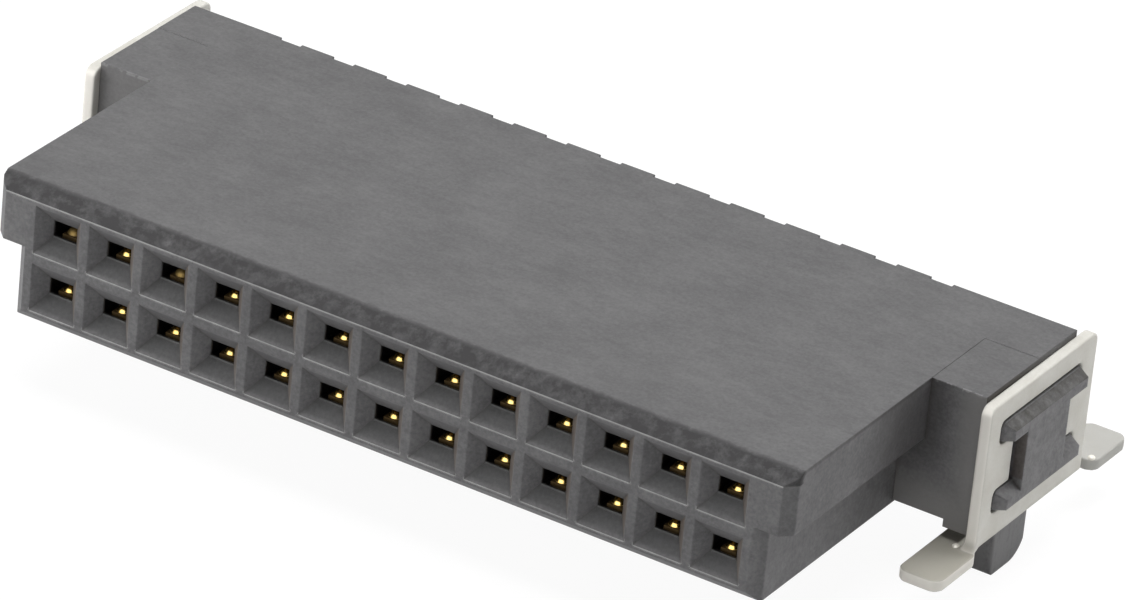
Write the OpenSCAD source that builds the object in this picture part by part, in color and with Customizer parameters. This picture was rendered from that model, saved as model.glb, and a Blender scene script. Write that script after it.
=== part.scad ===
// Right-angle surface-mount socket header, two rows of spring contacts.
// Millimetres. The board's top face is z = 0, and the origin lies midway between the two board pegs.
// +Y points away from the mating face and +Z points away from the board.

/* [Contact grid] */
// Number of contact columns
columns = 13; // [5:1:13]
// Spacing of the columns
pitch = 1.27; // [1.27:0.01:1.32]
// Spacing of the two rows
row_pitch = 1.27; // [1.25:0.01:1.3]
// Height of the plane midway between the rows, above the board
axis_h = 2.05; // [2.045:0.005:2.08]

/* [Body] */
// Distance from the mating face back to the line through the board pegs
mate_depth = 7.1; // [6.9:0.05:7.4]
// Length of the plug, from the mating face to the front of the ears
plug_len = 5.16; // [4.4:0.02:5.2]
// Length of the whole body, from the mating face to the rear face
body_len = 8.7; // [8.7:0.02:8.9]
// Wall outside the end sockets, in the wide upper half of the plug
end_wall_upper = 0.965; // [0.8:0.005:1.1]
// Wall outside the end sockets, in the narrow lower half of the plug
end_wall_lower = 0.44; // [0.3:0.005:0.6]
// Height above the board of the step between the two halves
key_h = 2.23; // [1.7:0.005:2.6]
// Height of the plug's underside above the board
body_bottom = 0.61; // [0.57:0.005:0.68]
// Height of the top face above the board
body_top = 3.565; // [3.53:0.005:3.62]
// Depth of the lead-in chamfer along the top of the mating face
lead_depth = 0.36; // [0.28:0.01:0.4]
// Height of the lead-in chamfer along the top of the mating face
lead_top = 0.26; // [0.1:0.01:0.27]
// Lead-in chamfer at both ends of the mating face
lead_side = 0.23; // [0.05:0.01:0.25]
// Lead-in chamfer along the underside of the mating face
lead_low = 0.2; // [0.05:0.01:0.24]

/* [Sockets] */
// Width of a funnel mouth
funnel_w = 1.07; // [0.8:0.01:1.15]
// Height of a funnel mouth
funnel_h = 1.05; // [0.8:0.01:1.1]
// Depth of a funnel
funnel_d = 0.3; // [0.2:0.01:0.5]
// Width of the window at the bottom of a funnel
window_w = 0.55; // [0.5:0.01:0.7]
// Height of the window at the bottom of a funnel
window_h = 0.34; // [0.3:0.01:0.5]
// Thickness of the wall round the window
window_land = 0.05; // [0.04:0.01:0.15]
// Width of the chamber behind the window
chamber_w = 1.02; // [0.98:0.01:1.06]
// Height of the chamber behind the window
chamber_h = 0.95; // [0.9:0.01:1]
// Chamfer on the floor of the chamber at the rear
mouth_chamfer = 0.12; // [0.1:0.01:0.15]

/* [Rear comb] */
// Width of a tail groove
groove_w = 0.5; // [0.42:0.01:0.56]
// Depth of a tail groove
groove_d = 0.09; // [0.06:0.01:0.1]

/* [Ears] */
// Height of the ears' underside above the board
ear_bottom = 0.67; // [0.6:0.005:0.72]
// How far each ear stands out past the upper half of the plug
ear_out = 1.216; // [1.21:0.002:1.5]
// How far further back the left ear's front face and clip sit than the right ones
left_back = 0.17; // [0:0.01:0.2]
// Length of the moulded relief on top of the ear
relief_len = 2.05; // [1:0.05:3]
// Depth of the moulded relief
relief_d = 0.008; // [0.006:0.002:0.06]
// Width of the standing rib under the outer edge of the ear
rib_w = 0.61; // [0.56:0.01:0.7]

/* [Board pegs] */
// Thickness of a peg across the body
peg_t = 0.51; // [0.4:0.01:0.58]
// Distance of the peg's outer face from the end face of the ear
peg_in = 0.1; // [0:0.01:0.15]
// Width of a peg along the body's depth
peg_w = 1.38; // [1.2:0.02:1.6]
// Depth of a peg below the board's top face
peg_depth = 1; // [0.8:0.02:1.4]
// Radius of the peg's rear lower corner
peg_r_rear = 0.62; // [0.3:0.02:0.7]
// Radius of the peg's front lower corner
peg_r_front = 0.15; // [0.1:0.01:0.3]
// Radius of the peg's upright edges
peg_edge = 0.1; // [0.05:0.01:0.15]

/* [Clips] */
// Thickness of the clip's sheet
sheet = 0.25; // [0.2:0.01:0.26]
// Inside radius of the bend under the ear
bend_r = 0.25; // [0.2:0.01:0.27]
// Distance from the mating face to the front edge of the plate
plate_front = 4.96; // [4.9:0.02:5.06]
// Length of the plate along the body's depth
plate_len = 4.21; // [4.11:0.02:4.31]
// How far the plate's upper edge lies below the top of the ear
plate_drop = 0.11; // [0:0.005:0.15]
// Height of the plate's lower edge above the board
plate_low = 0.37; // [0.35:0.01:0.46]
// Radius of the plate's upper corners
plate_r = 0.21; // [0.1:0.01:0.3]
// Width of the front bend along the body's depth
bend_w = 0.2; // [0.16:0.01:0.6]
// Height of the rear flange's upper edge above the board
flange_top = 1.4; // [1:0.05:2]
// Width of a solder foot across the body
foot_w = 0.96; // [0.85:0.01:1.1]
// Length of the front solder foot
front_foot_len = 1.58; // [1.2:0.01:1.8]
// Length of the rear solder foot
rear_foot_len = 1.41; // [1:0.01:1.6]
// Gap between the plate and the rear foot
rear_slit = 0.59; // [0.4:0.01:0.8]
// Radius of the feet's corners
foot_r = 0.25; // [0.1:0.01:0.3]
// Length of the tongue that the front foot keeps under the ear
tongue_len = 0.48; // [0.2:0.02:0.6]

/* [Clip window and boss] */
// Distance from the mating face to the middle of the window
boss_mid = 7.03; // [7:0.01:7.06]
// Length of the window's two bars
bar_len = 3.17; // [3:0.01:3.3]
// Height of each bar of the window
bar_h = 0.52; // [0.45:0.01:0.56]
// Distance between the two bars
bar_gap = 1; // [0.9:0.01:1.1]
// Height of the middle of the window above the board
boss_h = 1.97; // [1.94:0.005:2]
// Length of the window between its two tabs
web_len = 1.99; // [1.8:0.01:2.1]
// Radius of the window's corners
window_r = 0.13; // [0.08:0.01:0.2]
// Gap all round the boss in its window
boss_gap = 0.04; // [0.02:0.005:0.06]
// Gap between each tab and the web of the boss
tab_gap = 0.16; // [0.06:0.01:0.2]
// How far the boss's crown stands out past the plate
crown_out = 0.2; // [0.1:0.01:0.3]
// How far the crown's top and front end slope in
crown_slope = 0.15; // [0.05:0.01:0.2]
// How far the crown's bars are set back from the edges of the boss
crown_step = 0.04; // [0.02:0.01:0.06]

/* [Contacts] */
// Thickness of the contact strip
strip = 0.15; // [0.12:0.01:0.16]
// Free gap between the two contact domes
contact_gap = 0.06; // [0.04:0.01:0.2]
// Height of a contact dome above its beam
dome_h = 0.13; // [0.08:0.005:0.14]
// Radius of a contact dome
dome_r = 0.15; // [0.14:0.005:0.155]
// Gap between the beam tips and the wall in front of them
tip_gap = 0.12; // [0.05:0.01:0.25]
// Distance from the beam's tip to the dome
dome_back = 0.175; // [0.17:0.005:0.3]
// Length of the flat pad at the beam's tip
pad_len = 0.7; // [0.5:0.02:1]
// Width of a beam at its tip
tip_w = 0.34; // [0.32:0.01:0.4]
// Width of a beam at its root
root_w = 0.4; // [0.34:0.01:0.42]
// Width of the folded base
base_w = 0.8; // [0.76:0.01:0.9]
// Gap between the folded base and the chamber's floor and ceiling
base_gap = 0.01; // [0.005:0.005:0.03]
// Length of the folded base
base_len = 3.3; // [2.5:0.05:3.6]
// Distance from the body's rear face to the end of the base
base_back = 0.7; // [0.6:0.02:1]
// Outside radius of the base's two folds
fold_r = 0.2; // [0.18:0.01:0.22]
// Distance of the retention barbs from the end of the base
barb_back = 0.6; // [0.45:0.02:1]
// Length of a retention barb
barb_len = 0.35; // [0.2:0.01:0.4]

/* [Contact tails] */
// Width of a tail
tail_w = 0.32; // [0.26:0.01:0.34]
// Gap between a tail and the floor of its groove
tail_gap = 0.03; // [0.02:0.005:0.05]
// Middle radius of the tail's bends
tail_r = 0.2; // [0.18:0.01:0.24]
// Length of the solder foot past the lower bend
tail_foot = 1.2; // [0.8:0.05:1.6]

/* [Hidden] */
$fn = 48;
// A cut is carried this far past the face that it opens
over = 0.5;

front_y = -mate_depth;
rear_y = body_len - mate_depth;
ear_y = front_y + plug_len;
groove_y = rear_y - groove_d;
end_x = (columns - 1) / 2 * pitch + chamber_w / 2;
upper_x = end_x + end_wall_upper;
lower_x = end_x + end_wall_lower;
ear_x = upper_x + ear_out;
chamber_y = front_y + funnel_d + window_land;

rib_bottom = sheet + bend_r;
peg_x = ear_x - peg_in;
peg_fit = min(peg_r_rear, peg_w - peg_r_front);

plate_y0 = front_y + plate_front;
plate_y1 = plate_y0 + plate_len;
plate_top = body_top - plate_drop;
plate_x = ear_x + sheet;
bend_x = ear_x - bend_r;
foot_x = plate_x - foot_w;
front_foot_y1 = plate_y0 + bend_w;
front_foot_y0 = front_foot_y1 - front_foot_len;
rear_foot_y0 = plate_y1 + rear_slit;
rear_foot_y1 = rear_foot_y0 + rear_foot_len;
boss_y = front_y + boss_mid;
bar_mid = (bar_gap + bar_h) / 2;

tip_y = chamber_y + tip_gap;
base_y1 = rear_y - base_back;
base_y0 = base_y1 - base_len;
base_h = chamber_h - 2 * base_gap;
floor_z = base_h / 2 - strip / 2;
pad_z = contact_gap / 2 + dome_h + strip / 2;
tail_off = pitch / 4;
tail_y = groove_y + tail_gap + strip / 2;
tail_end = tail_y + tail_r + tail_foot;

function column_x(i) = (i - (columns - 1) / 2) * pitch;
function row_z(side) = axis_h + side * row_pitch / 2;
function two_digits(i) = str(i < 10 ? "0" : "", i);
function contact_name(row, i) = str(row, "_contact_", two_digits(i + 1));

// Points along an arc, from one angle to another
function arc(c, r, a0, a1) = [for (k = [0:8]) c + r * [cos(a0 + (a1 - a0) * k / 8), sin(a0 + (a1 - a0) * k / 8)]];
// Direction across a path at its point i
function across(p, i) =
    let (d = p[min(i + 1, len(p) - 1)] - p[max(i - 1, 0)])
    [-d[1], d[0]] / norm(d);
// Outline of a strip that follows a path
function strip_outline(p, t) = concat(
    [for (i = [0:len(p) - 1]) p[i] + across(p, i) * t / 2],
    [for (i = [len(p) - 1:-1:0]) p[i] - across(p, i) * t / 2]
);

// Extrudes a profile drawn in (y, z) along X, from x0 to x1
module along_x(x0, x1) {
    translate([x0, 0, 0])
        rotate([90, 0, 90])
            linear_extrude(x1 - x0)
                children();
}

// Extrudes a profile drawn in (x, z) along Y, from y0 to y1
module along_y(y0, y1) {
    translate([0, y1, 0])
        rotate([90, 0, 0])
            linear_extrude(y1 - y0)
                children();
}

// A rectangle with rounded corners, from one corner to the opposite one
module round_rect(x0, y0, x1, y1, r) {
    translate([x0 + r, y0]) square([x1 - x0 - 2 * r, y1 - y0]);
    translate([x0, y0 + r]) square([x1 - x0, y1 - y0 - 2 * r]);
    for (x = [x0 + r, x1 - r], y = [y0 + r, y1 - r])
        translate([x, y]) circle(r);
}

// The I shape of the clip's window, drawn in (y, z) round its own middle
module i_shape(shrink, web_shrink) {
    for (side = [-1, 1])
        translate([0, side * bar_mid])
            round_rect(
                -bar_len / 2 + shrink, -bar_h / 2 + shrink,
                bar_len / 2 - shrink, bar_h / 2 - shrink, window_r
            );
    square([web_len - 2 * web_shrink, bar_gap + bar_h], center = true);
}

// Section of one socket: funnel, window and chamber, drawn as half widths against depth.
// The chamber's floor has a chamfer where the contact's tail leaves it.
module socket_section(mouth, window, chamber, chamfer) {
    polygon([
        [front_y - over, -mouth / 2],
        [front_y, -mouth / 2],
        [front_y + funnel_d, -window / 2],
        [chamber_y, -window / 2],
        [chamber_y, -chamber / 2],
        [groove_y - chamfer, -chamber / 2],
        [groove_y, -chamber / 2 - chamfer],
        [rear_y + over, -chamber / 2 - chamfer],
        [rear_y + over, chamber / 2],
        [chamber_y, chamber / 2],
        [chamber_y, window / 2],
        [front_y + funnel_d, window / 2],
        [front_y, mouth / 2],
        [front_y - over, mouth / 2]
    ]);
}

// All the sockets at once: the columns seen from above, crossed with the rows seen from the side
module sockets() {
    intersection() {
        linear_extrude(body_top + over)
            for (i = [0:columns - 1])
                translate([column_x(i), 0])
                    rotate(90)
                        mirror([0, 1])
                            socket_section(funnel_w, window_w, chamber_w, 0);
        along_x(-ear_x, ear_x)
            for (side = [-1, 1])
                translate([0, row_z(side)])
                    socket_section(funnel_h, window_h, chamber_h, mouth_chamfer);
    }
}

// Grooves in the rear face: one to the left of each column for the upper tail, from top to bottom,
// and one to the right, below the lower row, for the lower tail
module rear_grooves() {
    for (i = [0:columns - 1]) {
        translate([column_x(i) - tail_off - groove_w / 2, groove_y, body_bottom - over])
            cube([groove_w, groove_d + over, body_top - body_bottom + 2 * over]);
        translate([column_x(i) + tail_off - groove_w / 2, groove_y, body_bottom - over])
            cube([groove_w, groove_d + over, row_z(-1) - body_bottom + over]);
    }
}

// The plug seen from the front, wide above the step and narrow below it
module plug_front() {
    polygon([
        [-lower_x, body_bottom],
        [lower_x, body_bottom],
        [lower_x, key_h],
        [upper_x, key_h],
        [upper_x, body_top],
        [-upper_x, body_top],
        [-upper_x, key_h],
        [-lower_x, key_h]
    ]);
}

// The plug's chamfered end, carried on into the plug: it tapers in plan and in side view
module plug_end(half_x, z0, z1) {
    intersection() {
        translate([0, 0, z0])
            linear_extrude(z1 - z0)
                polygon([
                    [-half_x + lead_side, front_y],
                    [half_x - lead_side, front_y],
                    [half_x, front_y + lead_side],
                    [half_x, front_y + lead_depth + over],
                    [-half_x, front_y + lead_depth + over],
                    [-half_x, front_y + lead_side]
                ]);
        along_x(-half_x, half_x)
            polygon([
                [front_y, body_bottom + lead_low],
                [front_y + lead_low, body_bottom],
                [front_y + lead_depth + over, body_bottom],
                [front_y + lead_depth + over, body_top],
                [front_y + lead_depth, body_top],
                [front_y, body_top - lead_top]
            ]);
    }
}

// A board peg: its profile seen from the side, crossed with its rounded outline seen from above
module board_peg() {
    intersection() {
        along_x(peg_x - peg_t, peg_x)
            difference() {
                translate([-peg_w / 2, -peg_depth]) square([peg_w, peg_depth + rib_bottom]);
                translate([peg_w / 2 - peg_fit, -peg_depth]) corner_cut(peg_fit);
                translate([-peg_w / 2 + peg_r_front, -peg_depth]) mirror([1, 0]) corner_cut(peg_r_front);
            }
        translate([0, 0, -peg_depth])
            linear_extrude(peg_depth + rib_bottom)
                round_rect(peg_x - peg_t, -peg_w / 2, peg_x, peg_w / 2, peg_edge);
    }
}

// What a corner of radius r loses, with the corner at (r, 0)
module corner_cut(r) {
    difference() {
        translate([0, -over]) square([r + over, r + over]);
        translate([0, r]) circle(r);
        translate([-over, r]) square([r + over, over]);
    }
}

// One bar of the boss's crown, between two heights: its top and its front end slope in
module crown_bar(z0, z1) {
    half = bar_len / 2 - boss_gap - crown_step;
    crown_x = plate_x + crown_out;
    intersection() {
        translate([0, 0, z0])
            linear_extrude(z1 - z0)
                polygon([
                    [ear_x, -half],
                    [plate_x, -half],
                    [crown_x, crown_slope - half],
                    [crown_x, half],
                    [ear_x, half]
                ]);
        along_y(-half, half)
            polygon([[ear_x, z0], [crown_x, z0], [crown_x, z1 - crown_slope], [plate_x, z1], [ear_x, z1]]);
    }
}

// The moulded boss that holds a clip: an I-shaped base level with the plate, and a crown that stands out
module clip_boss(back) {
    bar_half = bar_h / 2 - boss_gap - crown_step;
    translate([0, boss_y + back, boss_h]) {
        along_x(ear_x, plate_x) i_shape(boss_gap, tab_gap);
        for (side = [-1, 1])
            crown_bar(side * bar_mid - bar_half, side * bar_mid + bar_half);
        along_x(ear_x, plate_x + crown_out)
            square([web_len - 2 * tab_gap, bar_gap + bar_h], center = true);
    }
}

// An ear with its peg and boss. Its front face and its boss lie further back by the given distance.
module ear(back) {
    front = ear_y + back;
    difference() {
        union() {
            translate([0, front, ear_bottom])
                cube([ear_x, rear_y - front, body_top - ear_bottom]);
            translate([ear_x - rib_w, front, rib_bottom])
                cube([rib_w, rear_y - front, body_top - rib_bottom]);
        }
        translate([upper_x, front - over, body_top - relief_d])
            cube([ear_out + over, relief_len + over, relief_d + over]);
    }
    board_peg();
    clip_boss(back);
}

module housing() {
    color([0.30, 0.30, 0.31])
        difference() {
            union() {
                along_y(front_y + lead_depth, rear_y) plug_front();
                plug_end(upper_x, key_h, body_top);
                plug_end(lower_x, body_bottom, body_top);
                ear(0);
                mirror([1, 0, 0]) ear(left_back);
            }
            sockets();
            rear_grooves();
        }
}

// The clip's plate against the end of the ear, with the I-shaped window. Its front runs down into the bend.
module clip_plate() {
    along_x(ear_x, plate_x)
        difference() {
            union() {
                round_rect(plate_y0, plate_low, plate_y1, plate_top, plate_r);
                translate([plate_y0, plate_low]) square([plate_len, plate_r]);
                translate([plate_y0, rib_bottom]) square([bend_w, plate_r]);
            }
            translate([plate_y0 - over, 0]) square([bend_w + over, rib_bottom]);
            translate([boss_y, boss_h]) i_shape(0, 0);
        }
}

// Section of a bend into the plane of the solder feet, drawn round the middle of its radius
module bend_section() {
    intersection() {
        difference() {
            circle(bend_r + sheet);
            circle(bend_r);
        }
        translate([0, -rib_bottom]) square(rib_bottom);
    }
}

// A flange at the plate's rear edge turns in behind the ear and bends back into the plane of the feet
module rear_flange() {
    translate([foot_x, plate_y1 - sheet, rib_bottom])
        cube([ear_x - foot_x, sheet, flange_top - rib_bottom]);
    along_x(foot_x, bend_x)
        translate([plate_y1 + bend_r, rib_bottom]) mirror([1, 0]) bend_section();
}

// A solder foot seen from above, with the neck that joins it to its bend
module clip_foot(foot_y0, foot_y1, neck_y0, neck_y1) {
    linear_extrude(sheet) {
        round_rect(foot_x, foot_y0, plate_x, foot_y1, foot_r);
        translate([foot_x, neck_y0]) square([bend_x - foot_x, neck_y1 - neck_y0]);
    }
}

module clip() {
    color([0.76, 0.75, 0.72]) {
        clip_plate();
        along_y(plate_y0, plate_y0 + bend_w)
            translate([bend_x, rib_bottom]) bend_section();
        rear_flange();
        clip_foot(front_foot_y0, front_foot_y1, front_foot_y0 + foot_r, front_foot_y1 + tongue_len);
        clip_foot(rear_foot_y0, rear_foot_y1, plate_y1 + bend_r, rear_foot_y1 - foot_r);
    }
}

module right_clip() {
    clip();
}

module left_clip() {
    translate([0, left_back, 0]) mirror([1, 0, 0]) clip();
}

// One spring beam, drawn for the lower side of the socket: a flat pad at the tip, sloping back to the base
module beam() {
    intersection() {
        along_x(-root_w / 2, root_w / 2)
            polygon(strip_outline(
                [[tip_y, -pad_z], [tip_y + pad_len, -pad_z], [base_y0, -floor_z], [base_y0 + root_w, -floor_z]],
                strip
            ));
        translate([0, 0, -chamber_h])
            linear_extrude(chamber_h)
                polygon([
                    [-tip_w / 2, tip_y],
                    [tip_w / 2, tip_y],
                    [root_w / 2, base_y0],
                    [root_w / 2, base_y0 + root_w],
                    [-root_w / 2, base_y0 + root_w],
                    [-root_w / 2, base_y0]
                ]);
    }
    intersection() {
        translate([0, tip_y + dome_back, -contact_gap / 2 - dome_r]) sphere(dome_r);
        translate([-dome_r, tip_y + dome_back - dome_r, -pad_z]) cube([2 * dome_r, 2 * dome_r, pad_z]);
    }
}

// Section of the folded base, open towards +X
module base_section() {
    half = base_h / 2;
    difference() {
        union() {
            translate([-base_w / 2 + fold_r, -half]) square([base_w - fold_r, base_h]);
            translate([-base_w / 2, -half + fold_r]) square([fold_r, base_h - 2 * fold_r]);
            for (z = [-half + fold_r, half - fold_r])
                translate([-base_w / 2 + fold_r, z]) circle(fold_r);
        }
        translate([-base_w / 2 + fold_r, -half + strip]) square([base_w, base_h - 2 * strip]);
        translate([-base_w / 2 + strip, -half + fold_r]) square([base_w, base_h - 2 * fold_r]);
        for (z = [-half + fold_r, half - fold_r])
            translate([-base_w / 2 + fold_r, z]) circle(fold_r - strip);
    }
}

// A barb on the edge of the base, just touching the chamber's wall with its point
module barb(edge, wall, z) {
    translate([0, base_y1 - barb_back, z - strip / 2])
        linear_extrude(strip)
            polygon([[edge, -barb_len], [wall, 0], [edge, 0]]);
}

// The tail: along the chamber's floor, down the groove in the rear face, and out to its solder foot
module tail(drop) {
    foot_z = strip / 2 - drop;
    path = concat(
        [[base_y1 - root_w, -floor_z]],
        arc([tail_y - tail_r, -floor_z - tail_r], tail_r, 90, 0),
        arc([tail_y + tail_r, foot_z + tail_r], tail_r, 180, 270),
        [[tail_end, foot_z]]
    );
    along_x(tail_off - tail_w / 2, tail_off + tail_w / 2) polygon(strip_outline(path, strip));
}

// A whole contact, with its tail to the right of the socket's axis
module contact(drop) {
    color([0.83, 0.68, 0.34]) {
        beam();
        mirror([0, 0, 1]) beam();
        translate([0, base_y1, 0])
            rotate([90, 0, 0])
                linear_extrude(base_len)
                    base_section();
        for (side = [-1, 1])
            barb(base_w / 2, chamber_w / 2, side * floor_z);
        barb(-base_w / 2, -chamber_w / 2, 0);
        tail(drop);
    }
}

module upper_contact(i) {
    translate([column_x(i), 0, row_z(1)])
        mirror([1, 0, 0]) contact(row_z(1));
}

module lower_contact(i) {
    translate([column_x(i), 0, row_z(-1)])
        contact(row_z(-1));
}

housing();
left_clip();
right_clip();
for (i = [0:columns - 1]) {
    upper_contact(i);
    lower_contact(i);
}
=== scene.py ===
import bpy
import numpy as np
from mathutils import Matrix, Vector


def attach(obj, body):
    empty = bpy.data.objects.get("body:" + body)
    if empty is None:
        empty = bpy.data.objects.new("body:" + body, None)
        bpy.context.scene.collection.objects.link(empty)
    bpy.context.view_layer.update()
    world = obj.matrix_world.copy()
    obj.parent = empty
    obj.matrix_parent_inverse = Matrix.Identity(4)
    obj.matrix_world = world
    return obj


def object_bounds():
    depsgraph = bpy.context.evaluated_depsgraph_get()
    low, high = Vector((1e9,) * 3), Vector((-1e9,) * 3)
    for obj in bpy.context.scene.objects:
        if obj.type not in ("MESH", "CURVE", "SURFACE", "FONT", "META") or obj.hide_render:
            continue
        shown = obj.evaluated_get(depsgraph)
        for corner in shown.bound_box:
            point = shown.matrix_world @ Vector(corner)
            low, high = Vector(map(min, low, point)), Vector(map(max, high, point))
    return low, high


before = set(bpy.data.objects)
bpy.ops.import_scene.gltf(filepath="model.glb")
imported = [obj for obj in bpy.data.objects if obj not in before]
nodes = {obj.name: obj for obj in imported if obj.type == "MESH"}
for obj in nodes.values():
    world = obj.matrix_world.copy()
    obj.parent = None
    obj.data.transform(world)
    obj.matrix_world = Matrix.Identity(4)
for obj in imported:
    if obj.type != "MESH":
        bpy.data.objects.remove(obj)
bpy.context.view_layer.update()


# Housing: one injection moulding in dark, glass-filled plastic, with its rows of funnels, ears and
# board pegs. The mould's spark-eroded steel leaves a fine even grain, the glass fibres lie along
# the flow as faint streaks, and the polished slides that form the front leave it smoother.
class Tone:
    """A socket in a material's node tree. Plain arithmetic on it adds Math nodes."""

    def __init__(self, tree, socket):
        self.tree, self.socket = tree, socket

    def node(self, kind, settings=None, out=0, **sockets):
        """Adds a node of that kind: its settings first, then values or links for its sockets by name."""
        made = self.tree.nodes.new("ShaderNode" + kind)
        for name, value in (settings or {}).items():
            if name == "stops":
                ramp = made.color_ramp
                while len(ramp.elements) < len(value):
                    ramp.elements.new(0.5)
                for stop, (place, colour) in zip(ramp.elements, value):
                    stop.position, stop.color = place, (*colour, 1)
            else:
                setattr(made, name, value)
        for name, value in sockets.items():
            key = int(name[1:]) if name[0] == "i" and name[1:].isdigit() else name.replace("_", " ")
            socket = made.inputs[key]
            if isinstance(value, Tone):
                self.tree.links.new(value.socket, socket)
            else:
                socket.default_value = value
        return Tone(self.tree, made.outputs[out])

    def math(self, operation, *terms):
        """A Math node on these terms, by its operation's name."""
        return self.node("Math", {"operation": operation}, **{f"i{k}": t for k, t in enumerate(terms)})

    def __add__(self, other):
        return self.math("ADD", self, other)

    def __sub__(self, other):
        return self.math("SUBTRACT", self, other)

    def __rsub__(self, other):
        return self.math("SUBTRACT", other, self)

    def __mul__(self, other):
        return self.math("MULTIPLY", self, other)

    __radd__, __rmul__ = __add__, __mul__

    def __neg__(self):
        return 0 - self

    def __abs__(self):
        return self.math("ABSOLUTE", self)

    def most(self, other):
        """The greater of the two."""
        return self.math("MAXIMUM", self, other)

    def step(self, low, high):
        """0 below low, 1 above high, and a smooth slope between them."""
        return self.node("MapRange", {"interpolation_type": "SMOOTHSTEP"}, Value=self, From_Min=low, From_Max=high)

    def below(self, low, high):
        """1 below low, 0 above high, and a smooth slope between them."""
        return 1 - self.step(low, high)

    def swing(self, size):
        """How far a noise is from its middle, 0.5, times size."""
        return size * (self - 0.5)

    def blend(self, first, second):
        """The first colour where this is 0, the second where it is 1."""
        return self.node("Mix", {"data_type": "RGBA"}, out=2, i0=self, i6=first, i7=second)

    def wear(self, under, over, strength):
        """The colour under, with the colour over laid on it at that strength where this is 1."""
        return (strength * self).blend(under, over)

    def axes(self, names="XYZ"):
        """The parts of a vector along these axes."""
        return [self.node("SeparateXYZ", out=axis, Vector=self) for axis in names]

    def noise(self, scale, detail, roughness=0.5):
        """Noise at the place that this vector gives."""
        return self.node("TexNoise", out="Fac", Vector=self, Scale=scale, Detail=detail, Roughness=roughness)

    def ramp(self, *stops):
        """The colour that a ramp has at this value, from its places and colours."""
        return self.node("ValToRGB", {"stops": stops}, Fac=self)


def finish_of(name):
    """An empty material with its Principled shader, and the place on the piece in millimetres."""
    made = bpy.data.materials.new(name)
    made.use_nodes = True
    tree = made.node_tree
    shader = tree.nodes["Principled BSDF"]
    start = Tone(tree, None)
    place = start.node("TexCoord", out="Object")
    in_mm = start.node("VectorMath", {"operation": "SCALE"}, Vector=place, Scale=1000.0)
    return made, shader, in_mm


def feed(shader, **sockets):
    """Links or sets the shader's sockets by name."""
    for name, value in sockets.items():
        socket = shader.inputs[name.replace("_", " ")]
        if isinstance(value, Tone):
            value.tree.links.new(value.socket, socket)
        else:
            socket.default_value = value


def coat(piece, finish):
    """Gives a piece this one material in place of any that it has."""
    piece.data.materials.clear()
    piece.data.materials.append(finish)


# Colours of the skin, its scuffs and scrapes, darker tones, and the shade, highlights, light and reflection painted
# on it
charcoal = (0.0, (0.091, 0.089, 0.092)), (0.5, (0.124, 0.122, 0.125)), (1.0, (0.161, 0.159, 0.161))
dark_tone, lead_in_shade = (0.03, 0.03, 0.03, 1), (0.031, 0.03, 0.031, 1)
scuffed_and_lit, edge_highlight, ear_light = (0.36, 0.36, 0.36, 1), (0.5, 0.5, 0.49, 1), (0.215, 0.21, 0.205, 1)
corner_shade, seam_shade, nook_shade = (0.034, 0.027, 0.02, 1), (0.022, 0.017, 0.012, 1), (0.012, 0.009, 0.009, 1)
brow_dark, scrape_and_shade = (0.03, 0.028, 0.028, 1), (0.03, 0.027, 0.022, 1)
gold_reflection, web_shade = (0.075, 0.045, 0.02, 1), (0.05, 0.03, 0.018, 1)
# In millimetres: the front of the right ear and how far the left one lies behind it, then soft bounds that
# several masks share, past the ends of the plug's upper and lower halves, past the funnels and above them
ear_front, left_back = -1.94, 0.17
past_upper, past_lower, past_funnels, above_rows = (9.15, 9.2), (8.5, 8.6), (8.4, 8.5), (3.2, 3.25)

moulding, shader, at = finish_of("moulded_plastic")
x_of, y_of, z_of = at.axes()
side, on_right = abs(x_of), x_of.step(-0.1, 0.1)
face = at.node("NewGeometry", out="Normal")
to_right, to_rear, to_top = face.axes()
to_end, to_front, to_floor = abs(to_right), -to_rear, -to_top
along_flow = at.node(
    "Mapping", {"vector_type": "POINT"}, Vector=at, Rotation=(0, 0, -0.62), Scale=(1.4, 3.6, 3.6)
)
streak = along_flow.noise(scale=1.1, detail=4.0, roughness=0.62)
cloud = at.noise(scale=0.55, detail=3.0)
grain = at.noise(scale=13.0, detail=3.0, roughness=0.7)
fleck = at.noise(scale=5.0, detail=2.0, roughness=0.6)
smear = at.noise(scale=3.2, detail=4.0, roughness=0.7)
shade = 0.5 + streak.swing(1.15) + cloud.swing(1.3) + grain.swing(2.0)
# The slides of the mould leave upright scores on the pegs, and the bosses are mottled; both are set paler
up_the_peg = at.node("Mapping", {"vector_type": "POINT"}, Vector=at, Scale=(9, 9, 0.7))
score = up_the_peg.noise(scale=1.0, detail=2.0)
shade = shade + z_of.below(0.2, 0.5) * (0.35 + score.swing(1.6))
shade = shade + side.step(10.5, 10.6) * (0.15 + fleck.swing(1.5))
colour = shade.ramp(*charcoal)
# The lead-in along the top is painted darker, a painted shade, and is rougher
lead_in = z_of.step(3.29, 3.32) * (y_of + smear.swing(0.3)).below(-6.8, -6.64)
colour = lead_in.wear(colour, lead_in_shade, strength=0.85 + smear.swing(2.3))
# Nicks have whitened the front upper edge of each ear, which lies further back on the left
from_edge = abs(y_of - (ear_front + left_back) + left_back * on_right)
nick = from_edge.below(0.015, 0.06) * z_of.step(3.48, 3.53) * side.step(9.12, 9.2) * fleck.step(0.5, 0.6)
colour = nick.wear(colour, scuffed_and_lit, strength=0.6)
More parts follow.
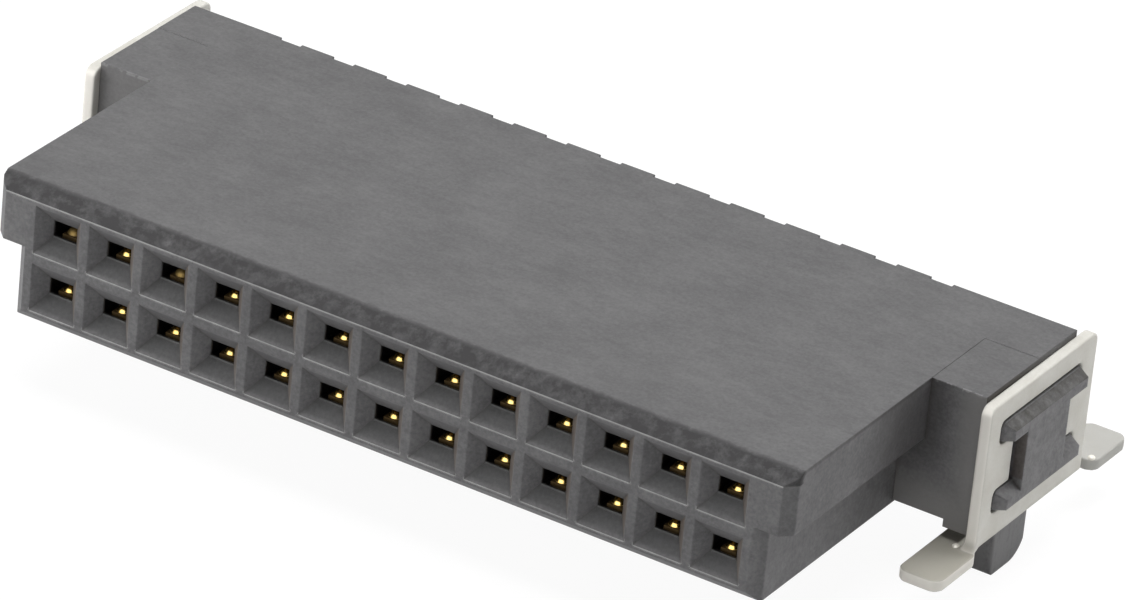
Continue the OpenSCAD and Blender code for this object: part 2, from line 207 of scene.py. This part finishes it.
# Painted shade darkens the inner corners, and a line where the plate of each clip lies against its ear
corner = at.node("AmbientOcclusion", {"samples": 6, "only_local": True}, out="AO", Distance=0.00012)
ear_top = z_of.step(3.545, 3.553) * side.step(8.98, 9.02) * side.below(10.22, 10.26) * y_of.step(-1.75, -1.65)
ear_rear = y_of.step(-0.15, -0.05)
open_face = corner.step(0.55, 0.95).most(ear_top * ear_rear)
colour = (1 - open_face).wear(colour, corner_shade, strength=0.5)
seam = side.step(10.298, 10.306) * side.below(10.33, 10.36)
colour = seam.wear(colour, seam_shade, strength=0.85 - 0.6 * y_of.step(-1.2, 1.0))
# Inside the funnels the floor and ceiling are painted darker as shade; the right wall has a painted gold reflection
inside = y_of.step(-7.09, -7.02) * y_of.below(-6.77, -6.74) * side.below(8.3, 8.4)
inside = inside * z_of.step(0.85, 0.9) * z_of.below(*above_rows)
level = 0.5 * to_top.step(0.2, 0.5) + 0.35 * to_floor.step(0.2, 0.5)
colour = inside.wear(colour, dark_tone, strength=level)
colour = (inside * (-to_right).step(0.2, 0.5)).wear(colour, gold_reflection, strength=0.5)
# The upright chamfers at both ends of the front are darker too
end_lead = to_end.step(0.5, 0.65) * y_of.below(-6.9, -6.86) * side.step(*past_funnels)
colour = end_lead.wear(colour, dark_tone, strength=0.22)
# A painted highlight runs along the upper edges of the front, where a rounded edge turns upwards
crisp = at.node("Bevel", {"samples": 6}, Radius=0.00004)
rounder = at.node("Bevel", {"samples": 8}, Radius=0.00008)
rise = rounder.axes("Z")[0] - to_top
front_face = to_front.step(0.85, 0.95) * y_of.below(-7.09, -7.07)
lip = to_top.step(0.4, 0.5) * y_of.step(-6.88, -6.85) * y_of.below(-6.8, -6.77) * z_of.below(*above_rows)
highlit_edges = rise.step(0.02, 0.12) * (front_face + 0.5 * lip)
colour = highlit_edges.wear(colour, edge_highlight, strength=0.3 + 0.9 * fleck)
# The nook between the plug and the right ear is darkened with painted shade, and the ears' fronts are painted paler
# with painted light, on the right only away from that nook
nook = x_of.step(*past_lower) * x_of.below(*past_upper) * to_right.step(0.7, 0.8)
nook = nook * y_of.step(-4.7, -3.0) * (1 - 0.4 * y_of.step(-2.8, -2.0)) * z_of.step(1.5, 2.2)
ear_face = to_front.step(0.9, 0.97) * y_of.step(-2.05, -2.0) * y_of.below(-1.7, -1.65) * side.step(*past_lower)
away = on_right * side.step(9.5, 10.2).most(z_of.below(0.8, 1.8)) + 0.45 * (1 - on_right)
colour = (ear_face * away).wear(colour, ear_light, strength=0.8)
nook = 0.5 * nook + 0.55 * on_right * ear_face * side.below(9.2, 9.75) * z_of.step(1.1, 2.2)
colour = nook.blend(colour, nook_shade)
# The top's skin is painted darker than the sides', a painted shade that offsets the white room it mirrors, and the
# chamfer along the underside of the front is a little darker too
flat_top = to_top.step(0.9, 0.97) * z_of.step(3.4, 3.5)
colour = flat_top.wear(colour, dark_tone, strength=0.38)
low_lead = to_floor.step(0.3, 0.5) * y_of.below(-6.95, -6.9) * z_of.below(0.82, 0.86)
colour = (0.2 * low_lead + 0.05 * front_face).blend(colour, dark_tone)
# A dark line runs under the top edge at both ends of the plug, and the shallow step behind the relief on top of
# each ear is painted pale, a painted highlight that keeps its shaded riser from showing as a dark line
brow = to_end.step(0.7, 0.8) * z_of.step(3.46, 3.52) * side.below(*past_upper)
colour = brow.wear(colour, brow_dark, strength=0.2 + 0.5 * fleck)
pale_step = to_front.step(0.5, 0.9) * z_of.step(3.55, 3.555) * y_of.step(-0.5, -0.4)
colour = pale_step.wear(colour, scuffed_and_lit, strength=0.85)
# The clip's window has scraped the slope on top of each boss, which is painted darker as shade too
on_boss = side.step(10.5, 10.55)
scraped_shaded_slope = on_boss * z_of.step(2.6, 2.7) * to_top.step(0.3, 0.5)
colour = scraped_shaded_slope.wear(colour, scrape_and_shade, strength=0.6 + smear.swing(2.0))
# The sides of the boss's web are painted a dark brown, a painted shade
web_side = on_boss * to_front.step(0.8, 0.9) * z_of.step(1.45, 1.5) * z_of.below(2.44, 2.49)
colour = web_side.wear(colour, web_shade, strength=0.5)
# The bosses, the pegs and the ends of the front are worn rounder than the rest. Inner corners stay sharp,
# and so does most of the shallow step on top of each ear
worn = side.step(10.3, 10.35) + z_of.below(0.2, 0.3) + side.step(*past_funnels) * y_of.below(-6.8, -6.6)
worn = worn.math("MINIMUM", worn, 1.0)
rounded = at.node("Mix", {"data_type": "VECTOR"}, out=1, i0=worn, i4=crisp, i5=rounder)
outer = open_face * (1 - ear_top * (0.5 + 0.5 * ear_rear))
soft_edge = at.node("Mix", {"data_type": "VECTOR"}, out=1, i0=outer, i4=face, i5=rounded)
relief = 0.6 * grain + 0.4 * fleck
skin = at.node("Bump", Strength=0.22, Distance=0.00003, Height=relief, Normal=soft_edge)
feed(shader, Base_Color=colour, Roughness=0.52 + 0.12 * grain + 0.22 * lead_in, Normal=skin,
     IOR=1.5, Specular_IOR_Level=0.34)
coat(nodes["housing"], moulding)


# Contacts: twenty-six springs stamped and folded from thin bronze strip. The beams are plated with
# gold over nickel, and the tails that are soldered to the board are plated with tin.
row_height, pitch = 1.415, 1.27
bright_gold = (0.3, (0.86, 0.58, 0.16)), (0.7, (0.95, 0.69, 0.24))
tail_tin = (0.3, (0.42, 0.41, 0.38)), (0.7, (0.5, 0.49, 0.46))
tip_shade = (0.11, 0.075, 0.035, 1)
spring, shader, at = finish_of("plated_spring")
x_of, y_of, z_of = at.axes()
tin_end = y_of.step(0.7, 0.95)
wipe = at.noise(scale=9.0, detail=2.0)
# At the tips only the lower dome of each pair is bright: the rest of the tip is painted dark brown as shade
off_axis = z_of - row_height + pitch / 2
off_axis = off_axis.math("MODULO", off_axis, pitch) - pitch / 2
dome = (off_axis + 0.16).step(0.0, 0.02) * off_axis.below(-0.02, 0.02)
# The first and third of the upper domes from the left are painted dark too, a painted shade over their glints
first, third = (abs(x_of + columns * pitch).below(0.3, 0.5) for columns in (6, 4))
dome = dome * (1 - 0.8 * (first + third) * z_of.step(2.0, 2.1))
shaded_tip = (1 - dome) * y_of.below(-6.2, -5.9)
colour = shaded_tip.blend(tin_end.blend(wipe.ramp(*bright_gold), wipe.ramp(*tail_tin)), tip_shade)
plate_grain = at.noise(scale=22.0, detail=2.0)
soft_edge = at.node("Bevel", {"samples": 4}, Radius=0.00002)
skin = at.node("Bump", Strength=0.08, Distance=0.00001, Height=plate_grain, Normal=soft_edge)
feed(shader, Base_Color=colour, Metallic=1 - 0.7 * tin_end, Normal=skin, Specular_IOR_Level=0.2,
     Roughness=0.2 + 0.4 * tin_end + 0.45 * shaded_tip + 0.06 * wipe)
for name, piece in nodes.items():
    if "_contact_" in name:
        coat(piece, spring)


# Clips: a board lock at each end, stamped from sheet, tumbled until its edges are round, bent under at
# its two feet and plated with matte tin. Each plate is pushed over the ear's I-shaped boss, which holds it.
def tin_plate(name, low, mid, high, rough):
    """Tin in three tones, clouded and with a fine crystal grain, and how rough it is."""
    made, shader, at = finish_of(name)
    crystal = at.noise(scale=18.0, detail=3.0, roughness=0.65)
    tint = 0.5 + at.noise(scale=1.6, detail=3.0).swing(0.9) + crystal.swing(0.5)
    colour = tint.ramp((0.2, low), (0.5, mid), (0.8, high))
    skin = at.node("Bump", Strength=0.12, Distance=0.00002, Height=crystal)
    feed(shader, Metallic=0.25, Roughness=rough + 0.14 * crystal, Normal=skin, Specular_IOR_Level=0.2)
    return made, shader, at, colour


front_foot_shade, rear_foot_shade, tin_highlight = (0.315, 0.3, 0.255, 1), (0.335, 0.333, 0.32, 1), (0.79, 0.765, 0.715, 1)
lock, shader, at, colour = tin_plate(
    "matte_tin", low=(0.515, 0.499, 0.453), mid=(0.568, 0.556, 0.515), high=(0.625, 0.616, 0.58), rough=0.58
)
y_of, z_of = at.axes("YZ")
to_rear, to_top = at.node("NewGeometry", out="Normal").axes("YZ")
# The feet are painted darker and warmer than the plates, a painted shade, most of all at the front
on_foot, at_rear = z_of.below(0.26, 0.5), y_of.step(-1.9, 1.5)
colour = on_foot.wear(colour, at_rear.blend(front_foot_shade, rear_foot_shade), strength=0.8 - 0.15 * at_rear)
# The sheared edges of the front feet and the front edge of each plate carry a painted highlight
foot_edge = abs(to_top).below(0.3, 0.75) * on_foot * y_of.below(-2.1, -1.9)
plate_edge = (-to_rear).step(0.5, 0.9) * z_of.step(0.4, 0.6)
colour = (0.8 * plate_edge + 0.7 * foot_edge).blend(colour, tin_highlight)
feed(shader, Base_Color=colour)
# In metres: the mesh is joined at its seams, remade in small cubes and then smoothed, which rounds its edges
weld_gap, cube_size, smooth_share, smooth_passes = 1e-6, 0.000025, 0.5, 12
for name in ("left_clip", "right_clip"):
    coat(nodes[name], lock)
    weld = nodes[name].modifiers.new("weld", "WELD")
    weld.merge_threshold = weld_gap
    skin_over = nodes[name].modifiers.new("skin_over", "REMESH")
    skin_over.mode, skin_over.voxel_size, skin_over.use_smooth_shade = "VOXEL", cube_size, True
    tumbled = nodes[name].modifiers.new("tumbled", "SMOOTH")
    tumbled.factor, tumbled.iterations = smooth_share, smooth_passes


# Stamping nubs: where the punch that frees a foot stops, it leaves a small round bulge in the tin-plated
# sheet. There is one beside the front bend of each clip and one on the inner corner of its rear foot.
def nub_surface(middle, reach, height, rings=10, turns=24):
    """A flattened ball: at latitude a and turn t, reach * cos(a) from the axis and height * sin(a) above middle."""
    a = np.linspace(-np.pi / 2, np.pi / 2, rings + 1)[1:-1, None]
    t = np.linspace(0, 2 * np.pi, turns, endpoint=False)[None, :]
    skin = np.stack([reach * np.cos(a) * np.cos(t), reach * np.cos(a) * np.sin(t), height * np.sin(a) + 0 * t], -1)
    points = np.vstack([skin.reshape(-1, 3), [(0, 0, -height), (0, 0, height)]]) + np.array(middle)
    ring, turn = np.meshgrid(np.arange(rings - 2), np.arange(turns), indexing="ij")
    here, there = ring * turns + turn, ring * turns + (turn + 1) % turns
    walls = np.stack([here, there, there + turns, here + turns], -1).reshape(-1, 4)
    round_trip = np.arange(turns)
    after, last = (round_trip + 1) % turns, (rings - 2) * turns
    low = np.stack([after, round_trip, 0 * round_trip + len(points) - 2], -1)
    high = np.stack([last + round_trip, last + after, 0 * round_trip + len(points) - 1], -1)
    return points / 1000, walls.tolist() + low.tolist() + high.tolist()


nub_reach, nub_height = 0.08, 0.055
nub_places = {"front": (10.1, -2.05, 0.255), "rear": (10.42, 2.78, 0.25)}
# The nubs' tin is set paler than the plates'
pale_nub_finish, shader, at, colour = tin_plate(
    "pale_tin", low=(0.72, 0.69, 0.625), mid=(0.765, 0.735, 0.67), high=(0.8, 0.775, 0.715), rough=0.36
)
feed(shader, Base_Color=colour)
scene = bpy.context.scene
for name, mirrored, back in (("right", 1, 0.0), ("left", -1, left_back)):
    for end, (x, y, z) in nub_places.items():
        points, faces = nub_surface((mirrored * x, y + back, z), nub_reach, nub_height)
        ball = bpy.data.meshes.new(f"{name}_{end}_nub")
        ball.from_pydata(points.tolist(), [], faces)
        ball.shade_smooth()
        nub = bpy.data.objects.new(f"{name}_{end}_nub", ball)
        coat(nub, pale_nub_finish)
        scene.collection.objects.link(nub)
        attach(nub, "root")


# Table: a plain sheet of white paper under the board pegs, wide enough to fill the picture. It takes
# the part's soft shadow, and its glow is there only for the camera, reflections and glass.
def seen_directly(start):
    """1 where the camera, a reflection or glass sees the background, 0 for the light that it sheds."""
    seen = start.node("LightPath", out="Is Camera Ray")
    for ray in ("Is Glossy Ray", "Is Transmission Ray"):
        seen = seen.most(start.node("LightPath", out=ray))
    return seen


table_reach, table_z = 0.6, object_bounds()[0].z
sheet = bpy.data.meshes.new("table")
corners = table_reach * np.array([(-1, -1, 0), (1, -1, 0), (1, 1, 0), (-1, 1, 0)], float)
corners[:, 2] = table_z
sheet.from_pydata(corners.tolist(), [], [(0, 1, 2, 3)])
table = bpy.data.objects.new("table", sheet)
scene.collection.objects.link(table)
paper_white, glow_white, glow_strength, glow_share = (0.9, 0.9, 0.9, 1), (1, 1, 1, 1), 1.05, 0.9
paper = bpy.data.materials.new("white_paper")
paper.use_nodes = True
tree = paper.node_tree
tree.nodes.remove(tree.nodes["Principled BSDF"])
start = Tone(tree, None)
dull = start.node("BsdfDiffuse", Color=paper_white)
glow = start.node("Emission", Color=glow_white, Strength=glow_strength)
lit = start.node("MixShader", i0=glow_share, i1=dull, i2=glow)
both = start.node("MixShader", i0=seen_directly(start), i1=dull, i2=lit)
tree.links.new(both.socket, tree.nodes["Material Output"].inputs["Surface"])
coat(table, paper)


# Light: a white room that sheds hardly any light itself. A large soft box hangs above the part, weaker
# ones stand round it, a small low one lights its left end, and a white wall stands behind the camera.
room_glow, room_white = 0.02, 1.0
room = bpy.data.worlds.new("white_room")
scene.world = room
room.use_nodes = True
tree = room.node_tree
fill = tree.nodes["Background"]
fill.inputs["Color"].default_value = (1, 1, 1, 1)
strength = room_glow + (room_white - room_glow) * seen_directly(Tone(tree, None))
tree.links.new(strength.socket, fill.inputs["Strength"])


def soft_box(name, place, aim, size, power):
    """A square area lamp at place, turned to aim, both in millimetres."""
    lamp = bpy.data.lights.new(name, "AREA")
    lamp.shape, lamp.size, lamp.energy = "SQUARE", size / 1000, power
    box = bpy.data.objects.new(name, lamp)
    scene.collection.objects.link(box)
    box.location = Vector(place) / 1000
    box.rotation_mode = "QUATERNION"
    box.rotation_quaternion = (Vector(aim) - Vector(place)).to_track_quat("-Z", "Y")
    return box


middle, large, wall_size = (0, 0, 0), 120, 300
soft_box("box_above", (0, 0, 170), middle, large, 0.322)
soft_box("box_back", (-60, 103, 121), middle, large, 0.025)
soft_box("box_right", (105, 113, 72), middle, large, 0.1025)
soft_box("box_left", (-162, 0, 51), middle, large, 0.058)
soft_box("box_front", (-30, -165, 28), middle, large, 0.022)
soft_box("box_low", (-36, -20, 4), aim=(-9, -3, 2), size=16, power=0.0065)
# Only the shiny pieces show the wall
soft_box("front_wall", (20, -200, 60), middle, wall_size, 0.36).visible_diffuse = False


# Camera: a long lens at the place that the photograph was taken from, found from the grid of funnels
# and the straight edges of the housing.
lens = bpy.data.cameras.new("camera")
camera = bpy.data.objects.new("camera", lens)
scene.collection.objects.link(camera)
lens.sensor_width, lens.lens = 36.0, 285.784
lens.clip_start, lens.clip_end = 0.01, 10.0
right = Vector((0.844976, 0.527225, 0.089720))
up = Vector((-0.318366, 0.361082, 0.876506))
turn = Matrix((right, up, right.cross(up))).transposed()
camera.rotation_mode = "QUATERNION"
camera.rotation_quaternion = turn.to_quaternion()
camera.location = Vector((76.0768, -136.5094, 85.0108)) / 1000
scene.camera = camera
scene.view_settings.view_transform = "Standard"
